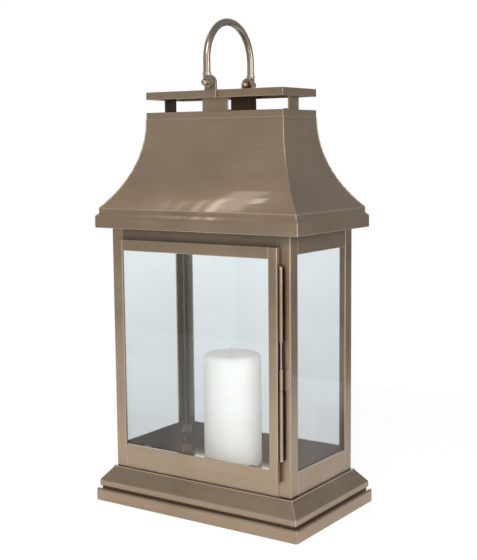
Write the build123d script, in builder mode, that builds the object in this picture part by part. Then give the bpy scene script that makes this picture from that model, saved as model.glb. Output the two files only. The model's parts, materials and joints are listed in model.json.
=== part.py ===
# Barn lantern: a glazed rectangular cabin on a stepped base, under a flared roof with a
# raised vent cap and a swinging bail. Millimetres, +Z up, the door faces -Y, and the origin
# is the middle of the base's underside.
from build123d import *
import math
import os

os.makedirs("parts", exist_ok=True)

# ---- driving dimensions ----
sheet = 1.2                # folded sheet of the base, eaves, roof and cap
angle_thickness = 1.8      # corner posts and rails
glass_thickness = 2.5

cabin_width = 250
cabin_depth = 140
cabin_bottom = 42
cabin_top = 335
post_leg = 16
post_round = 1.5
window_bottom = 69
window_top = 313

base_overhang = 19         # base tray beyond the cabin, on every side
tray_height = 15
tray_round = 2.5
groove_depth = 5.5         # measured in from the tray's face, like the insets below
groove_height = 2.5
bead_inset = 3.5
bead_top = 25
bead_round = 4
bead_lip_round = 1.2
slope_inset = 16
slope_top = 40.5
moulding_ledge = 40        # inner edge of the moulding's top flange

floor_top = 46

eave_width = 283
eave_depth = 164
fascia_height = 14
eave_chamfer = 3.5
eave_step = 5.5
soffit_width = 21
roof_inset = 42            # how far the roof draws in between eave and collar
roof_rise = 105
collar_height = 8
collar_round = 1
vent_hole = 9
vent_pitch = 16
vent_columns = 7
vent_rows = 2

strut_gap = 15             # clear height between collar and cap
strut_sheet = 1.5
strut_foot = 8
long_strut = 36            # width of the front and back struts
long_strut_reach = 30      # their distance from the middle
short_strut = 22
short_strut_reach = 88
cap_height = 9
cap_round = 1

lug_width = 16
lug_thickness = 3
pivot_height = 8           # pivot above the cap's top face
bolt_radius = 2.5
ball_radius = 4
ball_reach = 50
flange_radius = 3.4
flange_thickness = 0.7
eye_thickness = 5
eye_radius = 5.5
eye_gap = 0.5              # between the bail's eye and the lug
eye_clearance = 0.06       # running fit of the eye on its bolt
collar_ring = 3            # turned ring between eye and rod
ring_radius = 5
rod_radius = 4.25
bail_radius = 45
bail_straight = 14.5       # straight leg between the ring and the arch

door_gap = 0.4             # between the door's back and the posts
door_thickness = 7
door_left = -115
door_right = 112.2
door_bottom = 59.5
door_top = 322
stile_width = 11
top_rail_height = 13
bottom_rail_height = 14
rebate_width = 4
rebate_web = 3.5           # door frame left in front of the glass

leaf_thickness = 0.8
knuckle_radius = 2.1
pin_radius = 1.1
pin_clearance = 0.07       # running fit of the door's knuckles on the pin
leaf_to_knuckle = 0.3
web_thickness = 1
hinge_bottom = 86
hinge_top = 300
door_knuckles = [(86, 163.5), (219, 300)]
post_knuckle = (165, 188)  # between them, with the bare pin showing above it

clip_length = 9
clip_thickness = 1
clip_heights = [55, 318]
door_clip_places = [-80, 70]

magnet_length = 20
magnet_width = 4.5
magnet_left = -100
bracket_height = 10

candle_radius = 35
candle_height = 137
candle_round = 3
wick_radius = 1
wick_length = 7

# ---- derived values ----
half_width = cabin_width / 2
half_depth = cabin_depth / 2
inner_width = half_width - angle_thickness
inner_depth = half_depth - angle_thickness
base_half_width = half_width + base_overhang
base_half_depth = half_depth + base_overhang
fascia_top = cabin_top + fascia_height
chamfer_top = fascia_top + eave_chamfer
step_top = chamfer_top + eave_step
roof_top = step_top + roof_rise
collar_top = roof_top + collar_height
step_half_width = eave_width / 2 - eave_chamfer
step_half_depth = eave_depth / 2 - eave_chamfer
collar_half_width = step_half_width - roof_inset
collar_half_depth = step_half_depth - roof_inset
roof_radius = (roof_rise**2 + roof_inset**2) / (2 * roof_inset)
roof_sweep = math.degrees(math.asin(roof_rise / roof_radius))
cap_bottom = collar_top + strut_gap
cap_top = cap_bottom + cap_height
pivot_z = cap_top + pivot_height
lug_face = collar_half_depth + lug_thickness
eye_face = lug_face + eye_gap
rod_start = pivot_z + 2 * eye_radius
arch_centre = rod_start + bail_straight
door_back = -half_depth - door_gap
door_front = door_back - door_thickness
glass_front = door_front + rebate_web
hinge_x = door_right + leaf_thickness + leaf_to_knuckle + knuckle_radius
hinge_y = door_front + door_thickness / 2
pane_face = inner_width - glass_thickness
pane_end = inner_depth - glass_thickness

# direction out of the cabin and direction along the wall, for each of the four sides
walls = {
    "front": ((0, -1, 0), (-1, 0, 0)),
    "right": ((1, 0, 0), (0, -1, 0)),
    "back": ((0, 1, 0), (1, 0, 0)),
    "left": ((-1, 0, 0), (0, 1, 0)),
}


def save(builder, label):
    builder.part.label = label
    export_step(builder.part, f"parts/{label}.step")


# a box between two corners, added to or cut from the part being built
def block(low, high, mode=Mode.ADD):
    with BuildSketch(Plane.XY.offset(low[2])) as footprint:
        with Locations(((low[0] + high[0]) / 2, (low[1] + high[1]) / 2)):
            Rectangle(high[0] - low[0], high[1] - low[1])
    extrude(footprint.sketch, amount=high[2] - low[2], mode=mode)


# the upright plane across one wall: local x points out of the cabin and local y up
def section_plane(side):
    out, along = walls[side]
    return Plane(origin=(0, 0, 0), x_dir=out, z_dir=along)


def wall_reach(side, width_reach, depth_reach):
    return depth_reach if side in ("front", "back") else width_reach


# keeps what lies between the two 45 degree mitres at the ends of one wall
def mitre(side, width_reach, depth_reach, low, high):
    out, along = (Vector(*direction) for direction in walls[side])
    reach = wall_reach(side, width_reach, depth_reach)
    run = wall_reach(side, depth_reach, width_reach)
    inset = min(width_reach, depth_reach) - 1
    corners = [
        out * reach + along * run,
        out * reach - along * run,
        out * (reach - inset) - along * (run - inset),
        out * (reach - inset) + along * (run - inset),
    ]
    with BuildSketch(Plane.XY.offset(low)) as footprint:
        with BuildLine():
            Polyline(*[(corner.X, corner.Y) for corner in corners], close=True)
        make_face()
    extrude(footprint.sketch, amount=high - low, mode=Mode.INTERSECT)


# ---- base ----
with BuildPart() as base_tray:
    with BuildSketch():
        Rectangle(2 * base_half_width, 2 * base_half_depth)
    extrude(amount=tray_height)
    fillet(base_tray.edges().filter_by(Axis.Z), tray_round)
    fillet(base_tray.edges().group_by(Axis.Z)[-1], tray_round)
    with BuildSketch():
        RectangleRounded(2 * (base_half_width - sheet), 2 * (base_half_depth - sheet), tray_round - sheet)
    extrude(amount=tray_height - sheet - tray_round, mode=Mode.SUBTRACT)
    block(
        (tray_round - base_half_width, tray_round - base_half_depth, tray_height - sheet - tray_round),
        (base_half_width - tray_round, base_half_depth - tray_round, tray_height - sheet),
        mode=Mode.SUBTRACT,
    )
save(base_tray, "base_tray")

with BuildPart() as base_plate:
    with BuildSketch():
        RectangleRounded(2 * (base_half_width - sheet), 2 * (base_half_depth - sheet), tray_round - sheet)
    extrude(amount=sheet)
save(base_plate, "base_plate")

for side in walls:
    reach = wall_reach(side, base_half_width, base_half_depth)
    groove_top = tray_height + groove_height
    outline = [
        (groove_depth, tray_height),
        (groove_depth, groove_top),
        (bead_inset, groove_top),
        (bead_inset, bead_top),
        (slope_inset, slope_top),
        (slope_inset, cabin_bottom),
        (moulding_ledge, cabin_bottom),
        (moulding_ledge, cabin_bottom - sheet),
        (slope_inset + sheet, cabin_bottom - sheet),
        (slope_inset + sheet, slope_top - sheet / 2),
        (bead_inset + sheet, bead_top - sheet / 2),
        (bead_inset + sheet, groove_top + sheet),
        (groove_depth + sheet, groove_top + sheet),
        (groove_depth + sheet, tray_height),
    ]
    with BuildPart() as base_moulding:
        with BuildSketch(section_plane(side)) as section:
            with BuildLine():
                Polyline(*[(reach - inset, height) for inset, height in outline], close=True)
            make_face()
            for height, radius in ((bead_top, bead_round), (groove_top, bead_lip_round)):
                corner = section.vertices().sort_by_distance((reach - bead_inset, height))[0]
                fillet(corner, radius)
        extrude(amount=base_half_width, both=True)
        mitre(side, base_half_width, base_half_depth, tray_height, cabin_bottom)
    save(base_moulding, f"base_moulding_{side}")

with BuildPart() as floor_pan:
    block((-inner_width, -inner_depth, cabin_bottom), (inner_width, inner_depth, floor_top))
    offset(amount=-sheet, openings=floor_pan.faces().sort_by(Axis.Z)[0])
save(floor_pan, "floor_pan")

# ---- cabin frame ----
for side_x, name_x in ((-1, "left"), (1, "right")):
    for side_y, name_y in ((-1, "front"), (1, "back")):
        outline = [
            (half_width, half_depth),
            (half_width - post_leg, half_depth),
            (half_width - post_leg, inner_depth),
            (inner_width, inner_depth),
            (inner_width, half_depth - post_leg),
            (half_width, half_depth - post_leg),
        ]
        with BuildPart() as post:
            with BuildSketch(Plane.XY.offset(cabin_bottom)):
                with BuildLine():
                    Polyline(*[(side_x * x, side_y * y) for x, y in outline], close=True)
                make_face()
            extrude(amount=cabin_top - cabin_bottom)
            upright = post.edges().filter_by(Axis.Z)
            fillet(upright.sort_by(lambda edge: abs(edge.center().X) + abs(edge.center().Y))[-1], post_round)
        save(post, f"post_{name_y}_{name_x}")

for side in walls:
    reach = wall_reach(side, half_width, half_depth)
    run = wall_reach(side, half_depth, half_width) - post_leg
    for level, low, high in (("bottom", cabin_bottom, window_bottom), ("top", window_top, cabin_top)):
        with BuildPart() as rail:
            with BuildSketch(section_plane(side)):
                with Locations((reach - angle_thickness / 2, (low + high) / 2)):
                    Rectangle(angle_thickness, high - low)
            extrude(amount=run, both=True)
        save(rail, f"rail_{level}_{side}")

# ---- fixed glass and the clips that hold it ----
pane_top = cabin_top - 5
for sign, name in ((-1, "left"), (1, "right")):
    near_x, far_x = sorted((sign * pane_face, sign * inner_width))
    with BuildPart() as side_glass:
        block((near_x, -pane_end, floor_top), (far_x, pane_end, pane_top))
    save(side_glass, f"glass_{name}")

with BuildPart() as back_glass:
    block((-pane_face, pane_end, floor_top), (pane_face, inner_depth, pane_top))
save(back_glass, "glass_back")

# an angle clip: one leg against the side pane, the other along the neighbouring wall
def corner_clips(corner_y, wall_y):
    for side_x in (-1, 1):
        for height in clip_heights:
            lip_x = sorted((side_x * pane_face, side_x * (pane_face - clip_thickness)))
            foot_x = sorted((side_x * pane_face, side_x * (pane_face - clip_length)))
            lip_y = sorted((wall_y, corner_y))
            foot_y = sorted((wall_y, wall_y - math.copysign(clip_thickness, wall_y)))
            block((lip_x[0], lip_y[0], height), (lip_x[1], lip_y[1], height + clip_length))
            block((foot_x[0], foot_y[0], height), (foot_x[1], foot_y[1], height + clip_length))


with BuildPart() as front_clips:
    corner_clips(-inner_depth + clip_length, -inner_depth)
save(front_clips, "glass_clips_front")

with BuildPart() as back_clips:
    corner_clips(pane_end - clip_length, pane_end)
save(back_clips, "glass_clips_back")

# ---- eaves and roof ----
for side in walls:
    reach = wall_reach(side, eave_width / 2, eave_depth / 2)
    mitre_rise = sheet * math.tan(math.radians(22.5))
    outline = [
        (0, cabin_top),
        (0, fascia_top),
        (eave_chamfer, chamfer_top),
        (eave_chamfer, step_top),
        (eave_chamfer + sheet, step_top),
        (eave_chamfer + sheet, chamfer_top - mitre_rise),
        (sheet, fascia_top - mitre_rise),
        (sheet, cabin_top + sheet),
        (soffit_width, cabin_top + sheet),
        (soffit_width, cabin_top),
    ]
    with BuildPart() as eave:
        with BuildSketch(section_plane(side)):
            with BuildLine():
                Polyline(*[(reach - inset, height) for inset, height in outline], close=True)
            make_face()
        extrude(amount=eave_width / 2, both=True)
        mitre(side, eave_width / 2, eave_depth / 2, cabin_top, step_top)
    save(eave, f"eave_{side}")

for side in walls:
    arc_centre = (wall_reach(side, collar_half_width, collar_half_depth) + roof_radius, roof_top)
    with BuildPart() as roof_panel:
        with BuildSketch(section_plane(side)):
            with BuildLine():
                outer = CenterArc(arc_centre, roof_radius, 180, roof_sweep)
                inner = CenterArc(arc_centre, roof_radius + sheet, 180, roof_sweep)
                Line(outer @ 0, inner @ 0)
                Line(outer @ 1, inner @ 1)
            make_face()
        extrude(amount=eave_width / 2, both=True)
        mitre(side, step_half_width, step_half_depth, step_top, roof_top)
    save(roof_panel, f"roof_panel_{side}")

with BuildPart() as roof_collar:
    block((-collar_half_width, -collar_half_depth, roof_top), (collar_half_width, collar_half_depth, collar_top))
    fillet(roof_collar.edges().group_by(Axis.Z)[-1], collar_round)
    block(
        (sheet - collar_half_width, sheet - collar_half_depth, roof_top),
        (collar_half_width - sheet, collar_half_depth - sheet, collar_top - sheet),
        mode=Mode.SUBTRACT,
    )
    with BuildSketch(Plane.XY.offset(collar_top)):
        with GridLocations(vent_pitch, vent_pitch, vent_columns, vent_rows):
            Circle(vent_hole / 2)
    extrude(amount=-2 * sheet, mode=Mode.SUBTRACT)
save(roof_collar, "roof_collar")

# ---- raised vent cap ----
for side in walls:
    reach = wall_reach(side, short_strut_reach, long_strut_reach)
    width = wall_reach(side, short_strut, long_strut)
    strut_top = cap_top - sheet
    with BuildPart() as strut:
        with BuildSketch(section_plane(side)):
            with BuildLine():
                Polyline(
                    (reach - strut_foot, collar_top),
                    (reach, collar_top),
                    (reach, strut_top),
                    (reach - strut_foot, strut_top),
                    (reach - strut_foot, strut_top - strut_sheet),
                    (reach - strut_sheet, strut_top - strut_sheet),
                    (reach - strut_sheet, collar_top + strut_sheet),
                    (reach - strut_foot, collar_top + strut_sheet),
                    close=True,
                )
            make_face()
        extrude(amount=width / 2, both=True)
    save(strut, f"cap_strut_{side}")

with BuildPart() as cap:
    block((-collar_half_width, -collar_half_depth, cap_bottom), (collar_half_width, collar_half_depth, cap_top))
    fillet(cap.edges().group_by(Axis.Z)[-1], cap_round)
    block(
        (sheet - collar_half_width, sheet - collar_half_depth, cap_bottom),
        (collar_half_width - sheet, collar_half_depth - sheet, cap_top - sheet),
        mode=Mode.SUBTRACT,
    )
save(cap, "cap")

# ---- bail lugs, pivots and bail ----
for sign, name in ((-1, "front"), (1, "back")):
    plane = Plane(origin=(0, 0, 0), x_dir=(-sign, 0, 0), z_dir=(0, sign, 0))

    with BuildPart() as lug:
        with BuildSketch(plane.offset(collar_half_depth)):
            with Locations((0, (cap_bottom + pivot_z) / 2)):
                Rectangle(lug_width, pivot_z - cap_bottom)
            with Locations((0, pivot_z)):
                Circle(lug_width / 2)
                Circle(bolt_radius, mode=Mode.SUBTRACT)
        extrude(amount=lug_thickness)
    save(lug, f"bail_lug_{name}")

    with BuildPart() as bolt:
        with BuildSketch(plane.offset(collar_half_depth - ball_radius)):
            with Locations((0, pivot_z)):
                Circle(bolt_radius)
        extrude(amount=ball_reach - collar_half_depth + ball_radius)
        with BuildSketch(plane.offset(eye_face + eye_thickness + eye_gap)):
            with Locations((0, pivot_z)):
                Circle(flange_radius)
        extrude(amount=flange_thickness)
        with Locations((0, sign * ball_reach, pivot_z)):
            Sphere(ball_radius)
    save(bolt, f"pivot_bolt_{name}")

    with BuildPart() as eye:
        with BuildSketch(plane.offset(eye_face)):
            with Locations((0, (pivot_z + rod_start - collar_ring) / 2)):
                Rectangle(2 * eye_radius, rod_start - collar_ring - pivot_z)
            with Locations((0, pivot_z)):
                Circle(eye_radius)
                Circle(bolt_radius + eye_clearance, mode=Mode.SUBTRACT)
        extrude(amount=eye_thickness)
        with BuildSketch(Plane.XY.offset(rod_start - collar_ring)):
            with Locations((0, sign * bail_radius)):
                Circle(ring_radius)
        extrude(amount=collar_ring)
    save(eye, f"bail_eye_{name}")

with BuildPart() as nuts:
    nut_reach = collar_half_depth - ball_radius
    with Locations((0, -nut_reach, pivot_z), (0, nut_reach, pivot_z)):
        Sphere(ball_radius)
    for sign in (-1, 1):
        bore = Plane(origin=(0, sign * nut_reach, pivot_z), z_dir=(0, sign, 0))
        with BuildSketch(bore):
            Circle(bolt_radius)
        extrude(amount=2 * ball_radius, mode=Mode.SUBTRACT)
save(nuts, "pivot_nuts")

with BuildPart() as bail_rod:
    with BuildLine(Plane.YZ):
        rising = Line((-bail_radius, rod_start), (-bail_radius, arch_centre))
        arch = CenterArc((0, arch_centre), bail_radius, 180, -180)
        Line(arch @ 1, (bail_radius, rod_start))
    with BuildSketch(Plane(origin=rising @ 0, z_dir=rising % 0)):
        Circle(rod_radius)
    sweep()
save(bail_rod, "bail_rod")

# ---- door ----
# frame section in plan: a bar with a rebate along its inner back edge for the glass
for sign, name, outer_x in ((-1, "left", door_left), (1, "right", door_right)):
    inner_x = outer_x - sign * stile_width
    rebate_x = inner_x + sign * rebate_width
    with BuildPart() as stile:
        with BuildSketch(Plane.XY.offset(door_bottom)):
            with BuildLine():
                Polyline(
                    (outer_x, door_front),
                    (inner_x, door_front),
                    (inner_x, glass_front),
                    (rebate_x, glass_front),
                    (rebate_x, door_back),
                    (outer_x, door_back),
                    close=True,
                )
            make_face()
        extrude(amount=door_top - door_bottom)
    save(stile, f"door_stile_{name}")

opening_left = door_left + stile_width
opening_right = door_right - stile_width
for sign, name, outer_z, height in (
    (-1, "bottom", door_bottom, bottom_rail_height),
    (1, "top", door_top, top_rail_height),
):
    inner_z = outer_z - sign * height
    rebate_z = inner_z + sign * rebate_width
    with BuildPart() as door_rail:
        with BuildSketch(Plane.YZ.offset(opening_left)):
            with BuildLine():
                Polyline(
                    (door_front, outer_z),
                    (door_front, inner_z),
                    (glass_front, inner_z),
                    (glass_front, rebate_z),
                    (door_back, rebate_z),
                    (door_back, outer_z),
                    close=True,
                )
            make_face()
        extrude(amount=opening_right - opening_left)
    save(door_rail, f"door_rail_{name}")

pane_left = opening_left - rebate_width
pane_right = opening_right + rebate_width
pane_bottom = door_bottom + bottom_rail_height - rebate_width
pane_high = door_top - top_rail_height + rebate_width
pane_back = glass_front + glass_thickness
with BuildPart() as door_glass:
    block((pane_left, glass_front, pane_bottom), (pane_right, pane_back, pane_high))
save(door_glass, "door_glass")

with BuildPart() as door_clips:
    for low in (pane_bottom, pane_high - rebate_width):
        for left in door_clip_places:
            block((left, pane_back, low), (left + clip_length, door_back, low + rebate_width))
save(door_clips, "door_glass_clips")

# ---- door hinge: long knuckles at the top and bottom of the door's leaf, a short one on the post ----
def knuckle(low, high, bore_radius):
    with BuildSketch(Plane.XY.offset(low)) as ring:
        with Locations((hinge_x, hinge_y)):
            Circle(knuckle_radius)
            Circle(bore_radius, mode=Mode.SUBTRACT)
    extrude(ring.sketch, amount=high - low)


web_reach = (knuckle_radius + pin_radius) / 2
with BuildPart() as leaf_door:
    block((door_right, door_front, hinge_bottom), (door_right + leaf_thickness, door_back, hinge_top))
    for low, high in door_knuckles:
        knuckle(low, high, pin_radius)
        block(
            (door_right, hinge_y - web_thickness / 2, low),
            (hinge_x - web_reach, hinge_y + web_thickness / 2, high),
        )
save(leaf_door, "hinge_leaf_door")

with BuildPart() as leaf_post:
    low, high = post_knuckle
    leaf_left = hinge_x - web_thickness / 2
    leaf_front = -half_depth - leaf_thickness
    block((leaf_left, leaf_front, low), (half_width - post_round, -half_depth, high))
    knuckle(low, high, pin_radius + pin_clearance)
    block((leaf_left, hinge_y + web_reach, low), (leaf_left + web_thickness, leaf_front, high))
save(leaf_post, "hinge_leaf_post")

with BuildPart() as hinge_pin:
    with BuildSketch(Plane.XY.offset(hinge_bottom)):
        with Locations((hinge_x, hinge_y)):
            Circle(pin_radius)
    extrude(amount=hinge_top - hinge_bottom)
    for low in (hinge_bottom - pin_radius, hinge_top):
        with BuildSketch(Plane.XY.offset(low)):
            with Locations((hinge_x, hinge_y)):
                Circle(knuckle_radius)
        extrude(amount=pin_radius)
save(hinge_pin, "hinge_pin")

# ---- hidden magnetic catch behind the door's top rail ----
magnet_bottom = window_top - magnet_width
magnet_right = magnet_left + magnet_length
with BuildPart() as catch_bracket:
    block(
        (magnet_left, -inner_depth, magnet_bottom),
        (magnet_right, -inner_depth + clip_thickness, window_top + bracket_height),
    )
save(catch_bracket, "catch_bracket")

with BuildPart() as catch_magnet:
    block((magnet_left, -half_depth, magnet_bottom), (magnet_right, -inner_depth, window_top))
save(catch_magnet, "catch_magnet")

# ---- pillar candle ----
with BuildPart() as candle:
    with BuildSketch(Plane.XY.offset(floor_top)):
        Circle(candle_radius)
    extrude(amount=candle_height)
    fillet(candle.edges(), candle_round)
    with BuildSketch(Plane.XY.offset(floor_top + candle_height)):
        Circle(wick_radius)
    extrude(amount=-wick_length, mode=Mode.SUBTRACT)
save(candle, "candle")

with BuildPart() as wick:
    with BuildSketch(Plane.XY.offset(floor_top + candle_height - wick_length)):
        Circle(wick_radius)
    extrude(amount=2 * wick_length)
    fillet(wick.edges().group_by(Axis.Z)[-1], wick_radius / 2)
save(wick, "candle_wick")
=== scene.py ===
import bmesh
import bpy
import json
import math
from mathutils import Matrix, Vector


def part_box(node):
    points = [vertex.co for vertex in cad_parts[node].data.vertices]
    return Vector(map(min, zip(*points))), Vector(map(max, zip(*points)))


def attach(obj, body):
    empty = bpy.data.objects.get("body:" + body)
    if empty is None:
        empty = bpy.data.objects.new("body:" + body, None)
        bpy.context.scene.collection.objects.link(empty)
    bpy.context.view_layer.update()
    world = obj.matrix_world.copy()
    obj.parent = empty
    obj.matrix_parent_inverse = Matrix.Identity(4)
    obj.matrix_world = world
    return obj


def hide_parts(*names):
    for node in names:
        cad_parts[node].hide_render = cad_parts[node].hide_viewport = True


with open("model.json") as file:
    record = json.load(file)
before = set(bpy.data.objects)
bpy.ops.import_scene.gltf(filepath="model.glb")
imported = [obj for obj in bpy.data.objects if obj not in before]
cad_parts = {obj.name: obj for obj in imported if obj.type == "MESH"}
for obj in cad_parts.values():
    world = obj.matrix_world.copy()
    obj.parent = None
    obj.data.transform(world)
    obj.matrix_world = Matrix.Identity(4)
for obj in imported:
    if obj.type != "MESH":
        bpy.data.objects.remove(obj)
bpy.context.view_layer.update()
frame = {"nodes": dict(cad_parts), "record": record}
nodes = frame["nodes"]
bodies = frame["record"]["behaviour"]["bodies"]
bodyOf = {name: body for body, names in bodies.items() for name in names}
scene = bpy.context.scene
mm = 0.001
white = (1, 1, 1, 1)
print("frame loaded:", len(nodes), "nodes")


# sRGB hex to the linear values that Blender's sockets take
def linear(hexColour):
    values = [int(hexColour[i:i + 2], 16) / 255 for i in (1, 3, 5)]
    return tuple(v / 12.92 if v <= 0.04045 else ((v + 0.055) / 1.055) ** 2.4 for v in values) + (1.0,)


# a texture's scale for a pattern of this real size in millimetres
def perSize(size):
    return 1 / (size * mm)


# adds one node: its settings, its colour stops if it is a ramp, and its inputs, where a
# (node, output) pair is a link and anything else is a value
def addNode(tree, kind, settings=None, inputs=None, stops=None):
    made = tree.nodes.new(kind)
    for name, value in (settings or {}).items():
        setattr(made, name, value)
    for name, value in (inputs or {}).items():
        if isinstance(value, tuple) and len(value) == 2 and isinstance(value[0], bpy.types.Node):
            tree.links.new(value[0].outputs[value[1]], made.inputs[name])
        else:
            made.inputs[name].default_value = value
    for index, (position, hexColour) in enumerate(stops or []):
        stop = made.color_ramp.elements[index] if index < 2 else made.color_ramp.elements.new(position)
        stop.position, stop.color = position, linear(hexColour)
    return made


def newTree(name, owners):
    made = owners.new(name)
    made.use_nodes = True
    made.node_tree.nodes.clear()
    return made, made.node_tree


def link(piece):
    scene.collection.objects.link(piece)
    return piece


# the view is from the right of the door, level with the roof and looking slightly down; angles in
# degrees, lens and sensor in millimetres, the rest in metres
camera = {"lens": 70.5, "sensor": 36, "azimuth": 34.14, "pitch": 7.11, "roll": -0.54,
          "distance": 1.3094, "target": (0.0083, 0.0027, 0.2719), "near": 0.05, "far": 50}


def placeCamera(c):
    a, e, r = (math.radians(c[k]) for k in ("azimuth", "pitch", "roll"))
    back = Vector((math.sin(a) * math.cos(e), -math.cos(a) * math.cos(e), math.sin(e)))
    level = Vector((math.cos(a), math.sin(a), 0))
    rise = back.cross(level)
    right = level * math.cos(r) + rise * math.sin(r)
    up = rise * math.cos(r) - level * math.sin(r)
    data = bpy.data.cameras.new("studioCamera")
    data.lens, data.sensor_width, data.sensor_fit = c["lens"], c["sensor"], "AUTO"
    data.clip_start, data.clip_end = c["near"], c["far"]
    made = link(bpy.data.objects.new("studioCamera", data))
    place = Matrix((right, up, back)).transposed().to_4x4()
    place.translation = Vector(c["target"]) + back * c["distance"]
    made.matrix_world = place
    scene.camera = made


placeCamera(camera)

# the table is a matt paper sweep, white to the camera and dimmer in the brass, with a painted pool of
# light before the door, where the paper glows, that fades over seven tenths of a metre; places in metres,
# fibre in millimetres
table = {"half": (1.15, 0.85), "middle": (-0.05, -0.2), "white": 1.1, "shadow": 0.25,
         "fibre": 25, "low": "#f1f1f1", "high": "#f7f7f7", "roughness": 0.95,
         "poolMiddle": (-0.15, -0.5, 0), "pool": [(0.05, "#c8c8c8"), (0.7, "#404040"), (0.26, "#787878")]}


def makeTable(t):
    mesh = bpy.data.meshes.new("studioTable")
    (halfX, halfY), (middleX, middleY) = t["half"], t["middle"]
    signs = ((-1, -1), (1, -1), (1, 1), (-1, 1))
    corners = [(middleX + i * halfX, middleY + j * halfY, 0) for i, j in signs]
    mesh.from_pydata(corners, [], [(0, 1, 2, 3)])
    paper, tree = newTree("mattePaperSweep", bpy.data.materials)
    place = addNode(tree, "ShaderNodeTexCoord")
    fibre = addNode(tree, "ShaderNodeTexNoise", None,
                    {"Vector": (place, "Object"), "Scale": perSize(t["fibre"]), "Detail": 3})
    tint = addNode(tree, "ShaderNodeValToRGB", None, {"Fac": (fibre, "Fac")},
                   [(0.3, t["low"]), (0.7, t["high"])])
    away = addNode(tree, "ShaderNodeVectorMath", {"operation": "DISTANCE"},
                   {0: (place, "Object"), 1: t["poolMiddle"]})
    # painted light: the paper glows before the door, fading with distance
    pool = addNode(tree, "ShaderNodeValToRGB", None, {"Fac": (away, "Value")}, t["pool"])
    sheet = addNode(tree, "ShaderNodeBsdfPrincipled", None,
                    {"Base Color": (tint, "Color"), "Roughness": t["roughness"],
                     "Emission Color": (pool, "Color"), "Emission Strength": 1.0})
    bright = addNode(tree, "ShaderNodeEmission", None, {"Strength": t["white"]})
    faint = addNode(tree, "ShaderNodeMixShader", None,
                    {"Fac": t["shadow"], 1: (bright, "Emission"), 2: (sheet, "BSDF")})
    path = addNode(tree, "ShaderNodeLightPath")
    seen = addNode(tree, "ShaderNodeMixShader", None,
                   {"Fac": (path, "Is Camera Ray"), 1: (sheet, "BSDF"), 2: (faint, "Shader")})
    addNode(tree, "ShaderNodeOutputMaterial", None, {"Surface": (seen, "Shader")})
    mesh.materials.append(paper)
    link(bpy.data.objects.new("studioTable", mesh))


# a dim room, a little brighter towards its window; lowest and highest are heights of view that
# the three greys run between
room = {"wallsLow": "#7c7c7a", "walls": "#aeaeae", "ceiling": "#949597", "lowest": -0.35, "highest": 0.7,
        "wallsAt": 0.42, "windowSide": (-0.56, -0.83, 0), "windowGain": 0.22}


def makeRoom(r):
    world, tree = newTree("dimStudioRoom", bpy.data.worlds)
    scene.world = world
    place = addNode(tree, "ShaderNodeTexCoord")
    split = addNode(tree, "ShaderNodeSeparateXYZ", None, {"Vector": (place, "Generated")})
    height = addNode(tree, "ShaderNodeMapRange", None,
                     {"Value": (split, "Z"), "From Min": r["lowest"], "From Max": r["highest"]})
    shade = addNode(tree, "ShaderNodeValToRGB", None, {"Fac": (height, "Result")},
                    [(0.0, r["wallsLow"]), (1.0, r["ceiling"]), (r["wallsAt"], r["walls"])])
    turned = addNode(tree, "ShaderNodeVectorMath", {"operation": "DOT_PRODUCT"},
                     {0: (place, "Generated"), 1: r["windowSide"]})
    gain = addNode(tree, "ShaderNodeMath", {"operation": "MULTIPLY_ADD"},
                   {0: (turned, "Value"), 1: r["windowGain"], 2: 1.0})
    lit = addNode(tree, "ShaderNodeVectorMath", {"operation": "SCALE"},
                  {0: (shade, "Color"), "Scale": (gain, "Value")})
    path = addNode(tree, "ShaderNodeLightPath")
    lens = addNode(tree, "ShaderNodeMix", {"data_type": "RGBA"},
                   {0: (path, "Is Camera Ray"), 6: (lit, "Vector"), 7: white})
    sky = addNode(tree, "ShaderNodeBackground", None, {"Color": (lens, 2), "Strength": 1.0})
    addNode(tree, "ShaderNodeOutputWorld", None, {"Surface": (sky, "Background")})


# each lamp: place, aim (None hangs level and shines straight down), size, watts, colour. The metal
# doesn't mirror the two wax lamps, or its flat tops would burn out. The card is there for the
# polished floor pan to mirror, and the tubes make the streaks on the roof's foot.
middle, floor = (0, 0, 0.25), (0, 0, 0.05)   # of the cabin, to aim at
cold, plain, warm = "#f4f8ff", "#ffffff", "#fff0dc"
tubeSize = (0.022, 0.36)
lamps = {"keySoftbox": ((1.12, -1.3, 0.36), middle, (0.5, 0.6), 3.2, plain),
         "waxSoftbox": ((1.1, -1.3, 0.5), middle, (0.5, 0.9), 11, plain),
         "waxLeftSoftbox": ((-1.5, -0.2, 0.45), middle, (0.7, 0.9), 4.5, plain),
         "topSoftbox": ((0.7, -1.5, 1.5), middle, (0.7, 0.7), 13, plain),
         "rightStrip": ((1.9, -0.1, 0.5), middle, (0.22, 0.9), 8, plain),
         "backSoftbox": ((-1.6, 0.9, 1.5), middle, (0.6, 0.6), 2, plain),
         "floorCard": ((-0.95, 1.4, 0.56), floor, (1.4, 0.5), 4.0, plain),
         "ceilingTube0": ((-1.03, -0.26, 1.60), None, tubeSize, 0.03, warm),
         "ceilingTube1": ((-0.985, -0.28, 1.61), None, tubeSize, 0.045, warm),
         "ceilingTube2": ((-0.935, -0.31, 1.62), None, tubeSize, 0.09, warm),
         "ceilingTube3": ((-0.885, -0.35, 1.62), None, tubeSize, 0.15, warm),
         "wideTube": ((-0.855, -0.5, 1.63), None, (0.11, 0.45), 0.42, warm),
         "brightTube": ((-0.785, -0.5, 1.63), None, (0.035, 0.14), 0.1, cold)}


def hangLamps(allLamps):
    for name, (place, aim, size, watts, colour) in allLamps.items():
        data = bpy.data.lights.new(name, "AREA")
        data.shape = "RECTANGLE"
        data.size, data.size_y = size
        data.energy = watts
        data.color = linear(colour)[:3]
        lamp = link(bpy.data.objects.new(name, data))
        lamp.location = place
        if aim:
            lamp.rotation_euler = (Vector(aim) - Vector(place)).to_track_quat("-Z", "Y").to_euler()
        lamp.visible_glossy = not name.startswith("wax")
        lamp.visible_camera = False


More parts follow.
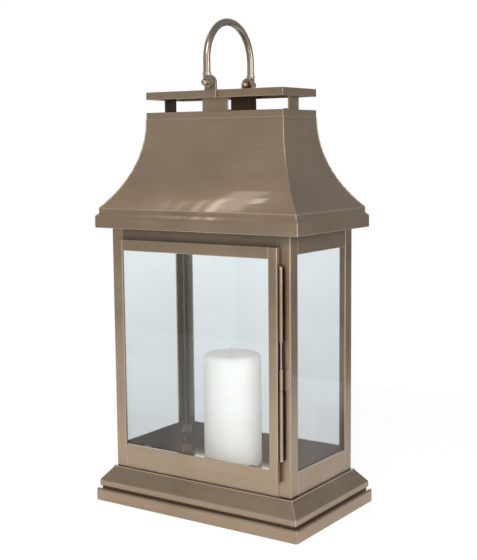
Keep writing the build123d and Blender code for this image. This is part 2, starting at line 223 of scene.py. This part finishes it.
makeTable(table)
makeRoom(room)
hangLamps(lamps)
scene.view_settings.view_transform = "Standard"
print("camera and studio ready")

# antique brass: plated sheet steel brushed one way, toned brown and lacquered. The brushing gives
# fine parallel streaks, the toning drifts over a few centimetres, the corners are darker with toning
# and painted shade, the outer edges lighter with wear and a painted highlight, and the lacquer adds a
# thin sharper gloss. Real brush marks are 0.1 mm wide: the streaks run from that up to 3 mm, which
# shows. Streak, mottle, edge, wave, relief and reach are in millimetres, and streakLength is how many
# times longer than wide a streak is.
brass = {"light": "#bba48a", "middle": "#b0997e", "dark": "#a38c71", "wornSheen": "#f6f1ea",
         "stops": (0.3, 0.5, 0.7), "streak": 3.0, "streakLength": 70, "streakGrit": 0.65, "mottle": 70,
         "streakShare": 0.35, "mottleShare": 0.65, "roughness": 0.4, "smoother": 0.04, "rougher": 0.06,
         "scuffed": 0.25, "lacquerRoughness": 0.06,
         "edge": 1.0, "startsAt": 0.99, "fullAt": 0.85, "rubbedSheen": 0.9,
         "wave": 62.5, "waveShare": 5.0, "relief": 0.1, "reliefStrength": 0.2}
# darkening of the corners: how near a wall it starts, its colour, and how much of it; recess is
# toning left in a piece's own corners together with painted shade there, and the second is painted
# shade alone, which also falls beside other pieces, as under the eave and beside the proud door
recess = {"reach": 5, "colour": "#72614f", "most": 0.5, "open": 0.95, "closed": 0.4, "ownOnly": True}
paintedShade = {"reach": 15, "colour": "#54473a", "most": 0.95, "open": 0.95, "closed": 0.4, "ownOnly": False}


# grain is the axis that the sheet was brushed along
def agedBrass(name, grain, roughness=brass["roughness"], tone=1.0, lacquer=1.0, hue=1.0, corners=recess):
    b = brass
    material, tree = newTree(name, bpy.data.materials)
    place = addNode(tree, "ShaderNodeTexCoord")
    across = perSize(b["streak"])
    along = across / b["streakLength"]
    brushed = [along if axis == grain else across for axis in "XYZ"]
    stretched = addNode(tree, "ShaderNodeMapping", None, {"Vector": (place, "Object"), "Scale": brushed})
    streaks = addNode(tree, "ShaderNodeTexNoise", None,
                      {"Vector": (stretched, "Vector"), "Scale": 1.0, "Detail": 5,
                       "Roughness": b["streakGrit"]})
    patches = addNode(tree, "ShaderNodeTexNoise", None,
                      {"Vector": (place, "Object"), "Scale": perSize(b["mottle"]), "Detail": 3})
    part = addNode(tree, "ShaderNodeMath", {"operation": "MULTIPLY"},
                   {0: (streaks, "Fac"), 1: b["streakShare"]})
    toning = addNode(tree, "ShaderNodeMath", {"operation": "MULTIPLY_ADD"},
                     {0: (patches, "Fac"), 1: b["mottleShare"], 2: (part, "Value")})
    low, mid, high = b["stops"]
    colour = addNode(tree, "ShaderNodeValToRGB", None, {"Fac": (toning, "Value")},
                     [(low, b["dark"]), (high, b["light"]), (mid, b["middle"])])
    # painted shade in the inside corners, with toning there too for the recess setting
    hollow = addNode(tree, "ShaderNodeAmbientOcclusion",
                     {"samples": 6, "only_local": corners["ownOnly"]}, {"Distance": corners["reach"] * mm})
    depth = addNode(tree, "ShaderNodeMapRange", None,
                    {"Value": (hollow, "AO"), "From Min": corners["closed"], "From Max": corners["open"],
                     "To Min": corners["most"], "To Max": 0.0})
    recessed = addNode(tree, "ShaderNodeMix", {"data_type": "RGBA"},
                       {0: (depth, "Result"), 6: (colour, "Color"), 7: linear(corners["colour"])})
    # toning gone from the outer edges, which also carry a painted highlight: where a rounded normal parts
    # from the true one
    rounded = addNode(tree, "ShaderNodeBevel", {"samples": 4}, {"Radius": b["edge"] * mm})
    shape = addNode(tree, "ShaderNodeNewGeometry")
    apart = addNode(tree, "ShaderNodeVectorMath", {"operation": "DOT_PRODUCT"},
                    {0: (rounded, "Normal"), 1: (shape, "Normal")})
    rubSheen = addNode(tree, "ShaderNodeMapRange", None,
                  {"Value": (apart, "Value"), "From Min": b["startsAt"], "From Max": b["fullAt"],
                   "To Min": 0.0, "To Max": b["rubbedSheen"]})
    keep = addNode(tree, "ShaderNodeMath", {"operation": "MULTIPLY"},
                   {0: (rubSheen, "Result"), 1: (hollow, "AO")})
    wornSheen = addNode(tree, "ShaderNodeMix", {"data_type": "RGBA"},
                   {0: (keep, "Value"), 6: (recessed, 2), 7: linear(b["wornSheen"])})
    toned = addNode(tree, "ShaderNodeHueSaturation", None,
                    {"Color": (wornSheen, 2), "Value": tone, "Saturation": hue})
    rough = addNode(tree, "ShaderNodeMapRange", None,
                    {"Value": (toning, "Value"), "From Min": low, "From Max": high,
                     "To Min": roughness - b["smoother"], "To Max": roughness + b["rougher"]})
    scuffed = addNode(tree, "ShaderNodeMath", {"operation": "MULTIPLY_ADD"},
                      {0: (keep, "Value"), 1: b["scuffed"], 2: (rough, "Result")})
    # the sheet is never quite flat, and the brush marks stand on its slow waves
    wave = addNode(tree, "ShaderNodeTexNoise", None,
                   {"Vector": (place, "Object"), "Scale": perSize(b["wave"]), "Detail": 1})
    relief = addNode(tree, "ShaderNodeMath", {"operation": "MULTIPLY_ADD"},
                     {0: (wave, "Fac"), 1: b["waveShare"], 2: (streaks, "Fac")})
    bump = addNode(tree, "ShaderNodeBump", None,
                   {"Height": (relief, "Value"), "Strength": b["reliefStrength"],
                    "Distance": b["relief"] * mm})
    metal = addNode(tree, "ShaderNodeBsdfPrincipled", None,
                    {"Base Color": (toned, "Color"), "Metallic": 1.0, "Roughness": (scuffed, "Value"),
                     "Coat Weight": lacquer, "Coat Roughness": b["lacquerRoughness"],
                     "Normal": (bump, "Normal")})
    addNode(tree, "ShaderNodeOutputMaterial", None, {"Surface": (metal, "BSDF")})
    return material


metalX = agedBrass("antiqueBrassBrushedAcross", "X")
metalY = agedBrass("antiqueBrassBrushedDeep", "Y")
metalZ = agedBrass("antiqueBrassBrushedUpright", "Z")
metalRod = agedBrass("antiqueBrassPolishedRod", "Z", roughness=0.3, tone=1.05, hue=0.7)
metalFloor = agedBrass("antiqueBrassFloorPan", "X", roughness=0.18, tone=2.2, hue=0.7)
# painted shade: these copies are darkened in their corners and beside other pieces, as under the eave,
# beside the proud door, in the hinge and at the lugs
metalPaintedShade = agedBrass("antiqueBrassPaintedShade", "Z", corners=paintedShade)
metalShadedX = agedBrass("antiqueBrassPaintedShadeAcross", "X", corners=paintedShade)
metalShadedY = agedBrass("antiqueBrassPaintedShadeDeep", "Y", corners=paintedShade)
# painted shade: a much darker, barely lacquered copy for the back and left cap struts, which the cap shades
metalInShade = agedBrass("antiqueBrassInShade", "Z", tone=0.35, lacquer=0.2)

# float glass: drawn flat and fire polished, so clear and mirror bright, with the faint grey of its
# iron and a thin grey film that clouds at random and greys more towards the foot of each pane. Face
# on it mirrors four hundredths, rising to all of it along the surface, and the same on both faces.
glass = {"clearFilm": "#fafcfd", "greyFilm": "#f0f2f3", "clearAbove": 0.31, "greyBelow": 0.06,
         "cloud": 83.3, "cloudShare": 0.2, "faceOn": 0.04, "steepness": 5.0}


def makeGlass(g):
    material, tree = newTree("clearFloatGlass", bpy.data.materials)
    place = addNode(tree, "ShaderNodeTexCoord")
    split = addNode(tree, "ShaderNodeSeparateXYZ", None, {"Vector": (place, "Object")})
    cloud = addNode(tree, "ShaderNodeTexNoise", None,
                    {"Vector": (place, "Object"), "Scale": perSize(g["cloud"]), "Detail": 2})
    level = addNode(tree, "ShaderNodeMapRange", None,
                    {"Value": (split, "Z"), "From Min": g["greyBelow"], "From Max": g["clearAbove"]})
    clarity = addNode(tree, "ShaderNodeMath", {"operation": "MULTIPLY_ADD"},
                   {0: (cloud, "Fac"), 1: g["cloudShare"], 2: (level, "Result")})
    film = addNode(tree, "ShaderNodeValToRGB", None, {"Fac": (clarity, "Value")},
                   [(0.1, g["greyFilm"]), (1.0, g["clearFilm"])])
    clear = addNode(tree, "ShaderNodeBsdfTransparent", None, {"Color": (film, "Color")})
    shine = addNode(tree, "ShaderNodeBsdfGlossy", None, {"Color": white, "Roughness": 0.0})
    turn = addNode(tree, "ShaderNodeLayerWeight", None, {"Blend": 0.5})
    steep = addNode(tree, "ShaderNodeMath", {"operation": "POWER"}, {0: (turn, "Facing"), 1: g["steepness"]})
    mirror = addNode(tree, "ShaderNodeMath", {"operation": "MULTIPLY_ADD"},
                     {0: (steep, "Value"), 1: 1 - g["faceOn"], 2: g["faceOn"]})
    pane = addNode(tree, "ShaderNodeMixShader", None,
                   {"Fac": (mirror, "Value"), 1: (clear, "BSDF"), 2: (shine, "BSDF")})
    openPane = addNode(tree, "ShaderNodeBsdfTransparent", None, {"Color": white})   # lets the lamps in
    path = addNode(tree, "ShaderNodeLightPath")
    lit = addNode(tree, "ShaderNodeMixShader", None,
                  {"Fac": (path, "Is Shadow Ray"), 1: (pane, "Shader"), 2: (openPane, "BSDF")})
    addNode(tree, "ShaderNodeOutputMaterial", None, {"Surface": (lit, "Shader")})
    return material


# paraffin wax: poured in a mould, so milky, with a faint white bloom; light soaks in some three
# centimetres, and the faint light the wax gives off is painted light, standing for what comes back from
# further inside
wax = {"low": "#f7f4ea", "high": "#fcfaf3", "bloom": 22.2, "relief": 0.4, "reliefStrength": 0.15,
       "roughness": 0.5, "ior": 1.43, "soaks": (0.03, 0.027, 0.022), "milky": 0.9,
       "paintedGlowColour": "#fff4e2", "paintedGlow": 0.07}


def makeWax(w):
    material, tree = newTree("paraffinWax", bpy.data.materials)
    place = addNode(tree, "ShaderNodeTexCoord")
    bloom = addNode(tree, "ShaderNodeTexNoise", None,
                    {"Vector": (place, "Object"), "Scale": perSize(w["bloom"]), "Detail": 4})
    tint = addNode(tree, "ShaderNodeValToRGB", None, {"Fac": (bloom, "Fac")},
                   [(0.3, w["low"]), (0.7, w["high"])])
    bump = addNode(tree, "ShaderNodeBump", None,
                   {"Height": (bloom, "Fac"), "Strength": w["reliefStrength"],
                    "Distance": w["relief"] * mm})
    body = addNode(tree, "ShaderNodeBsdfPrincipled", None,
                   {"Base Color": (tint, "Color"), "Roughness": w["roughness"], "IOR": w["ior"],
                    "Subsurface Weight": w["milky"], "Subsurface Radius": w["soaks"],
                    "Subsurface Scale": 1.0,
                    # painted light: the wax glows a little
                    "Emission Color": linear(w["paintedGlowColour"]), "Emission Strength": w["paintedGlow"],
                    "Normal": (bump, "Normal")})
    addNode(tree, "ShaderNodeOutputMaterial", None, {"Surface": (body, "BSDF")})
    return material


# cotton wick: three strands braided tight, dipped in wax, so off-white and finely ribbed. The
# strands are drawn 3.6 mm apart, where real ones are 1.2 mm apart.
wick = {"cotton": "#e9e2d2", "shadow": "#b9ae98", "strandPitch": 3.6, "wander": 1.5,
        "relief": 0.2, "reliefStrength": 0.6, "roughness": 0.9, "fuzz": 0.3}


def makeWick(w):
    material, tree = newTree("braidedCottonWick", bpy.data.materials)
    place = addNode(tree, "ShaderNodeTexCoord")
    braid = addNode(tree, "ShaderNodeTexWave", {"bands_direction": "DIAGONAL"},
                    {"Vector": (place, "Object"), "Scale": perSize(w["strandPitch"]),
                     "Distortion": w["wander"]})
    tint = addNode(tree, "ShaderNodeValToRGB", None, {"Fac": (braid, "Fac")},
                   [(0.2, w["shadow"]), (0.7, w["cotton"])])
    bump = addNode(tree, "ShaderNodeBump", None,
                   {"Height": (braid, "Fac"), "Strength": w["reliefStrength"],
                    "Distance": w["relief"] * mm})
    cotton = addNode(tree, "ShaderNodeBsdfPrincipled", None,
                     {"Base Color": (tint, "Color"), "Roughness": w["roughness"], "Sheen Weight": w["fuzz"],
                      "Normal": (bump, "Normal")})
    addNode(tree, "ShaderNodeOutputMaterial", None, {"Surface": (cotton, "BSDF")})
    return material


# nickel plated magnet: sintered and tumbled before plating, so bright with a faint orange peel
magnet = {"light": "#c9c8c4", "dark": "#b3b1ac", "peel": 0.8, "relief": 0.05,
          "reliefStrength": 0.15, "roughness": 0.22}


def makeMagnet(m):
    material, tree = newTree("nickelPlatedMagnet", bpy.data.materials)
    place = addNode(tree, "ShaderNodeTexCoord")
    peel = addNode(tree, "ShaderNodeTexNoise", None,
                   {"Vector": (place, "Object"), "Scale": perSize(m["peel"]), "Detail": 2})
    tint = addNode(tree, "ShaderNodeValToRGB", None, {"Fac": (peel, "Fac")},
                   [(0.3, m["dark"]), (0.7, m["light"])])
    bump = addNode(tree, "ShaderNodeBump", None,
                   {"Height": (peel, "Fac"), "Strength": m["reliefStrength"],
                    "Distance": m["relief"] * mm})
    plate = addNode(tree, "ShaderNodeBsdfPrincipled", None,
                    {"Base Color": (tint, "Color"), "Metallic": 1.0, "Roughness": m["roughness"],
                     "Normal": (bump, "Normal")})
    addNode(tree, "ShaderNodeOutputMaterial", None, {"Surface": (plate, "BSDF")})
    return material


glassMaterial = makeGlass(glass)
waxMaterial = makeWax(wax)
wickMaterial = makeWick(wick)
magnetMaterial = makeMagnet(magnet)
print("materials ready")


# the piece's mesh with its modifiers applied, as plain data on the same object
def bake(piece, name):
    result = bpy.data.meshes.new_from_object(piece.evaluated_get(bpy.context.evaluated_depsgraph_get()))
    piece.modifiers.clear()
    piece.data = result
    result.name = name + "Mesh"


# lengths in millimetres and angles in degrees; a pressed arris is creased past the first sharp
# angle, and a round bar or a plain tray past the second
softening = {"merge": 0.002, "flat": 0.5, "arris": 35, "segments": 2, "sharpPressed": 50, "sharpPlain": 35}


# a copy of a sheet-metal node whose arrises are rounded as pressing and polishing leave them
def softened(name, width, material, s):
    copy = nodes[name].data.copy()
    work = bmesh.new()
    work.from_mesh(copy)
    bmesh.ops.remove_doubles(work, verts=work.verts, dist=s["merge"] * mm)
    bmesh.ops.dissolve_limit(work, angle_limit=math.radians(s["flat"]), verts=work.verts, edges=work.edges)
    work.to_mesh(copy)
    work.free()
    copy.materials.clear()
    copy.materials.append(material)
    piece = link(bpy.data.objects.new(name + "Piece", copy))
    if width:
        bevel = piece.modifiers.new("edgeRound", "BEVEL")
        bevel.width, bevel.segments, bevel.limit_method = width * mm, s["segments"], "ANGLE"
        bevel.angle_limit = math.radians(s["arris"])
        piece.modifiers.new("evenShading", "WEIGHTED_NORMAL").keep_sharp = True
    for face in copy.polygons:
        face.use_smooth = True
    copy.set_sharp_from_angle(angle=math.radians(s["sharpPressed"] if width else s["sharpPlain"]))
    bake(piece, name)
    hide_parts(name)
    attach(piece, bodyOf[name])


# rounding in millimetres and finish for each family of nodes, first match wins; where the finish
# is a table, the last word of the node's name picks from it; the shaded finishes paint shade under
# the eave, round the base moulding, beside the proud door, in the hinge, at the lugs and on the
# struts that the cap shades
sideGrain = {"front": metalX, "back": metalX, "left": metalY, "right": metalY}
shadedGrain = {"front": metalShadedX, "back": metalShadedX, "left": metalShadedY, "right": metalShadedY}
families = [("base_tray", 0, metalX), ("base_moulding", 0.4, shadedGrain), ("floor_pan", 0.3, metalFloor),
            ("post_front_right", 1.2, metalPaintedShade), ("post_", 0.5, metalZ),
            ("rail_top", 0.3, shadedGrain), ("rail_bottom", 0.3, sideGrain),
            ("door_stile", 0.7, metalZ), ("door_rail", 0.5, metalX),
            ("hinge_leaf", 0.15, metalPaintedShade), ("hinge_pin", 0.3, metalRod),
            ("eave_", 1.1, sideGrain), ("roof_panel", 0.5, sideGrain), ("roof_collar", 0.6, metalX),
            ("cap_strut_back", 0.4, metalInShade), ("cap_strut_left", 0.4, metalInShade),
            ("cap_strut", 0.4, sideGrain), ("cap", 0.4, metalX),
            ("bail_lug", 0.3, metalPaintedShade), ("bail_eye", 0.6, metalRod), ("bail_rod", 0, metalRod),
            ("pivot_", 0, metalRod)]
replaced = set()
for name in sorted(nodes):
    for start, width, finish in families:
        if name.startswith(start):
            if isinstance(finish, dict):
                finish = finish[name.rsplit("_", 1)[-1]]
            softened(name, width, finish, softening)
            replaced.add(name)
            break
print("softened", len(replaced), "metal pieces")

# the candle: a moulded pillar with soft shoulders and a shallow melted dish, in millimetres; its
# side shrinks in by up to a quarter millimetre, in waves up its height and round it
candle = {"shoulder": 6.0, "foot": 4.5, "dish": 1.6, "dishRadius": 27, "drift": 0.25,
          "steps": 96, "cornerSteps": 8, "sideSteps": 12, "twist": 40, "waves": 90}


def candleProfile(c, low, high, radius):
    foot, shoulder = c["foot"] * mm, c["shoulder"] * mm
    dishRadius, dish = c["dishRadius"] * mm, c["dish"] * mm
    n, sides = c["cornerSteps"], c["sideSteps"]
    quarter = [math.pi / 2 * i / n for i in range(n + 1)]
    side = high - low - foot - shoulder
    profile = [(0.0, low)]
    profile += [(radius - foot + foot * math.sin(t), low + foot - foot * math.cos(t)) for t in quarter]
    profile += [(radius, low + foot + side * i / sides) for i in range(1, sides)]
    profile += [(radius - shoulder + shoulder * math.cos(t), high - shoulder + shoulder * math.sin(t))
                for t in quarter]
    profile += [(dishRadius * (1 - i / n), high - dish * math.sin(quarter[i])) for i in range(1, n)]
    return profile + [(0.0, high - dish)]


def turnedCandle(c):
    low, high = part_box("candle")
    centre, radius = (low + high) / 2, (high.x - low.x) / 2
    work = bmesh.new()
    rings = []
    for r, z in candleProfile(c, low.z, high.z, radius):
        if r == 0:
            rings.append([work.verts.new((centre.x, centre.y, z))])
            continue
        ring = []
        for k in range(c["steps"]):
            turn = 2 * math.pi * k / c["steps"]
            swell = (1 + math.sin(2 * turn + z * c["twist"]) * math.sin(z * c["waves"])) / 2
            out = r - c["drift"] * mm * swell
            spot = (centre.x + out * math.cos(turn), centre.y + out * math.sin(turn), z)
            ring.append(work.verts.new(spot))
        rings.append(ring)
    for lower, upper in zip(rings, rings[1:]):
        for k in range(c["steps"]):
            n = (k + 1) % c["steps"]
            corners = [lower[k % len(lower)], lower[n % len(lower)],
                       upper[n % len(upper)], upper[k % len(upper)]]
            work.faces.new(list(dict.fromkeys(corners)))
    bmesh.ops.recalc_face_normals(work, faces=work.faces)
    mesh = bpy.data.meshes.new("candlePillar")
    work.to_mesh(mesh)
    work.free()
    for face in mesh.polygons:
        face.use_smooth = True
    mesh.materials.append(waxMaterial)
    piece = link(bpy.data.objects.new("candlePillar", mesh))
    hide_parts("candle")
    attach(piece, "candle")


turnedCandle(candle)
replaced.add("candle")
print("candle turned")

# folded seam along each hip of the roof: a thin rolled bead that follows the panels' curve; radius
# in millimetres, steps along the curve and sides round the bead
seam = {"radius": 0.75, "steps": 24, "sides": 10}


def seamTree(material, sides):
    tree = bpy.data.node_groups.new("rolledSeam", "GeometryNodeTree")
    tree.interface.new_socket("Geometry", in_out="INPUT", socket_type="NodeSocketGeometry")
    tree.interface.new_socket("Bead radius", in_out="INPUT", socket_type="NodeSocketFloat")
    tree.interface.new_socket("Geometry", in_out="OUTPUT", socket_type="NodeSocketGeometry")
    source = addNode(tree, "NodeGroupInput")
    path = addNode(tree, "GeometryNodeMeshToCurve", None, {"Mesh": (source, "Geometry")})
    ring = addNode(tree, "GeometryNodeCurvePrimitiveCircle", None,
                   {"Resolution": sides, "Radius": (source, "Bead radius")})
    tube = addNode(tree, "GeometryNodeCurveToMesh", None,
                   {"Curve": (path, "Curve"), "Profile Curve": (ring, "Curve"), "Fill Caps": True})
    smooth = addNode(tree, "GeometryNodeSetShadeSmooth", None, {"Geometry": (tube, "Mesh")})
    real = addNode(tree, "GeometryNodeRealizeInstances", None, {"Geometry": (smooth, "Geometry")})
    finish = addNode(tree, "GeometryNodeSetMaterial", None,
                     {"Geometry": (real, "Geometry"), "Material": material})
    addNode(tree, "NodeGroupOutput", None, {"Geometry": (finish, "Geometry")})
    return tree


# runs a node tree on a mesh and keeps the result as a plain piece on one body
def nodePiece(name, mesh, tree, values, body):
    piece = link(bpy.data.objects.new(name, mesh))
    modifier = piece.modifiers.new("detail", "NODES")
    modifier.node_group = tree
    for item in tree.interface.items_tree:
        if item.in_out == "INPUT" and item.name in values:
            modifier[item.identifier] = values[item.name]
    bake(piece, name)
    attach(piece, body)


# each panel leaves the collar upright and bends out in one arc, so its inset and rise give the radius
def hipSeams(s):
    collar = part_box("roof_collar")[1]
    panelLow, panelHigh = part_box("roof_panel_front")
    top, inset = panelHigh.z, panelHigh.x - collar.x
    rise = top - panelLow.z
    radius = (inset ** 2 + rise ** 2) / (2 * inset)
    sweep = math.asin(rise / radius)
    points, edges = [], []
    for sideX in (-1, 1):
        for sideY in (-1, 1):
            for i in range(s["steps"] + 1):
                t = sweep * i / s["steps"]
                out = radius * (1 - math.cos(t))
                height = top - radius * math.sin(t)
                points.append((sideX * (collar.x + out), sideY * (collar.y + out), height))
                if i:
                    edges.append((len(points) - 2, len(points) - 1))
    mesh = bpy.data.meshes.new("hipPaths")
    mesh.from_pydata(points, edges, [])
    nodePiece("hipSeams", mesh, seamTree(metalZ, s["sides"]), {"Bead radius": s["radius"] * mm}, "lantern")


hipSeams(seam)
print("hip seams rolled")

# the nodes that keep their own mesh: the panes, the wick, the magnet and small brass pieces
ownFinish = {"glass_left": glassMaterial, "glass_right": glassMaterial, "glass_back": glassMaterial,
             "door_glass": glassMaterial, "candle_wick": wickMaterial, "catch_magnet": magnetMaterial}
for name in nodes:
    if name not in replaced:
        nodes[name].data.materials.clear()
        nodes[name].data.materials.append(ownFinish.get(name, metalX))
print("finishes given")
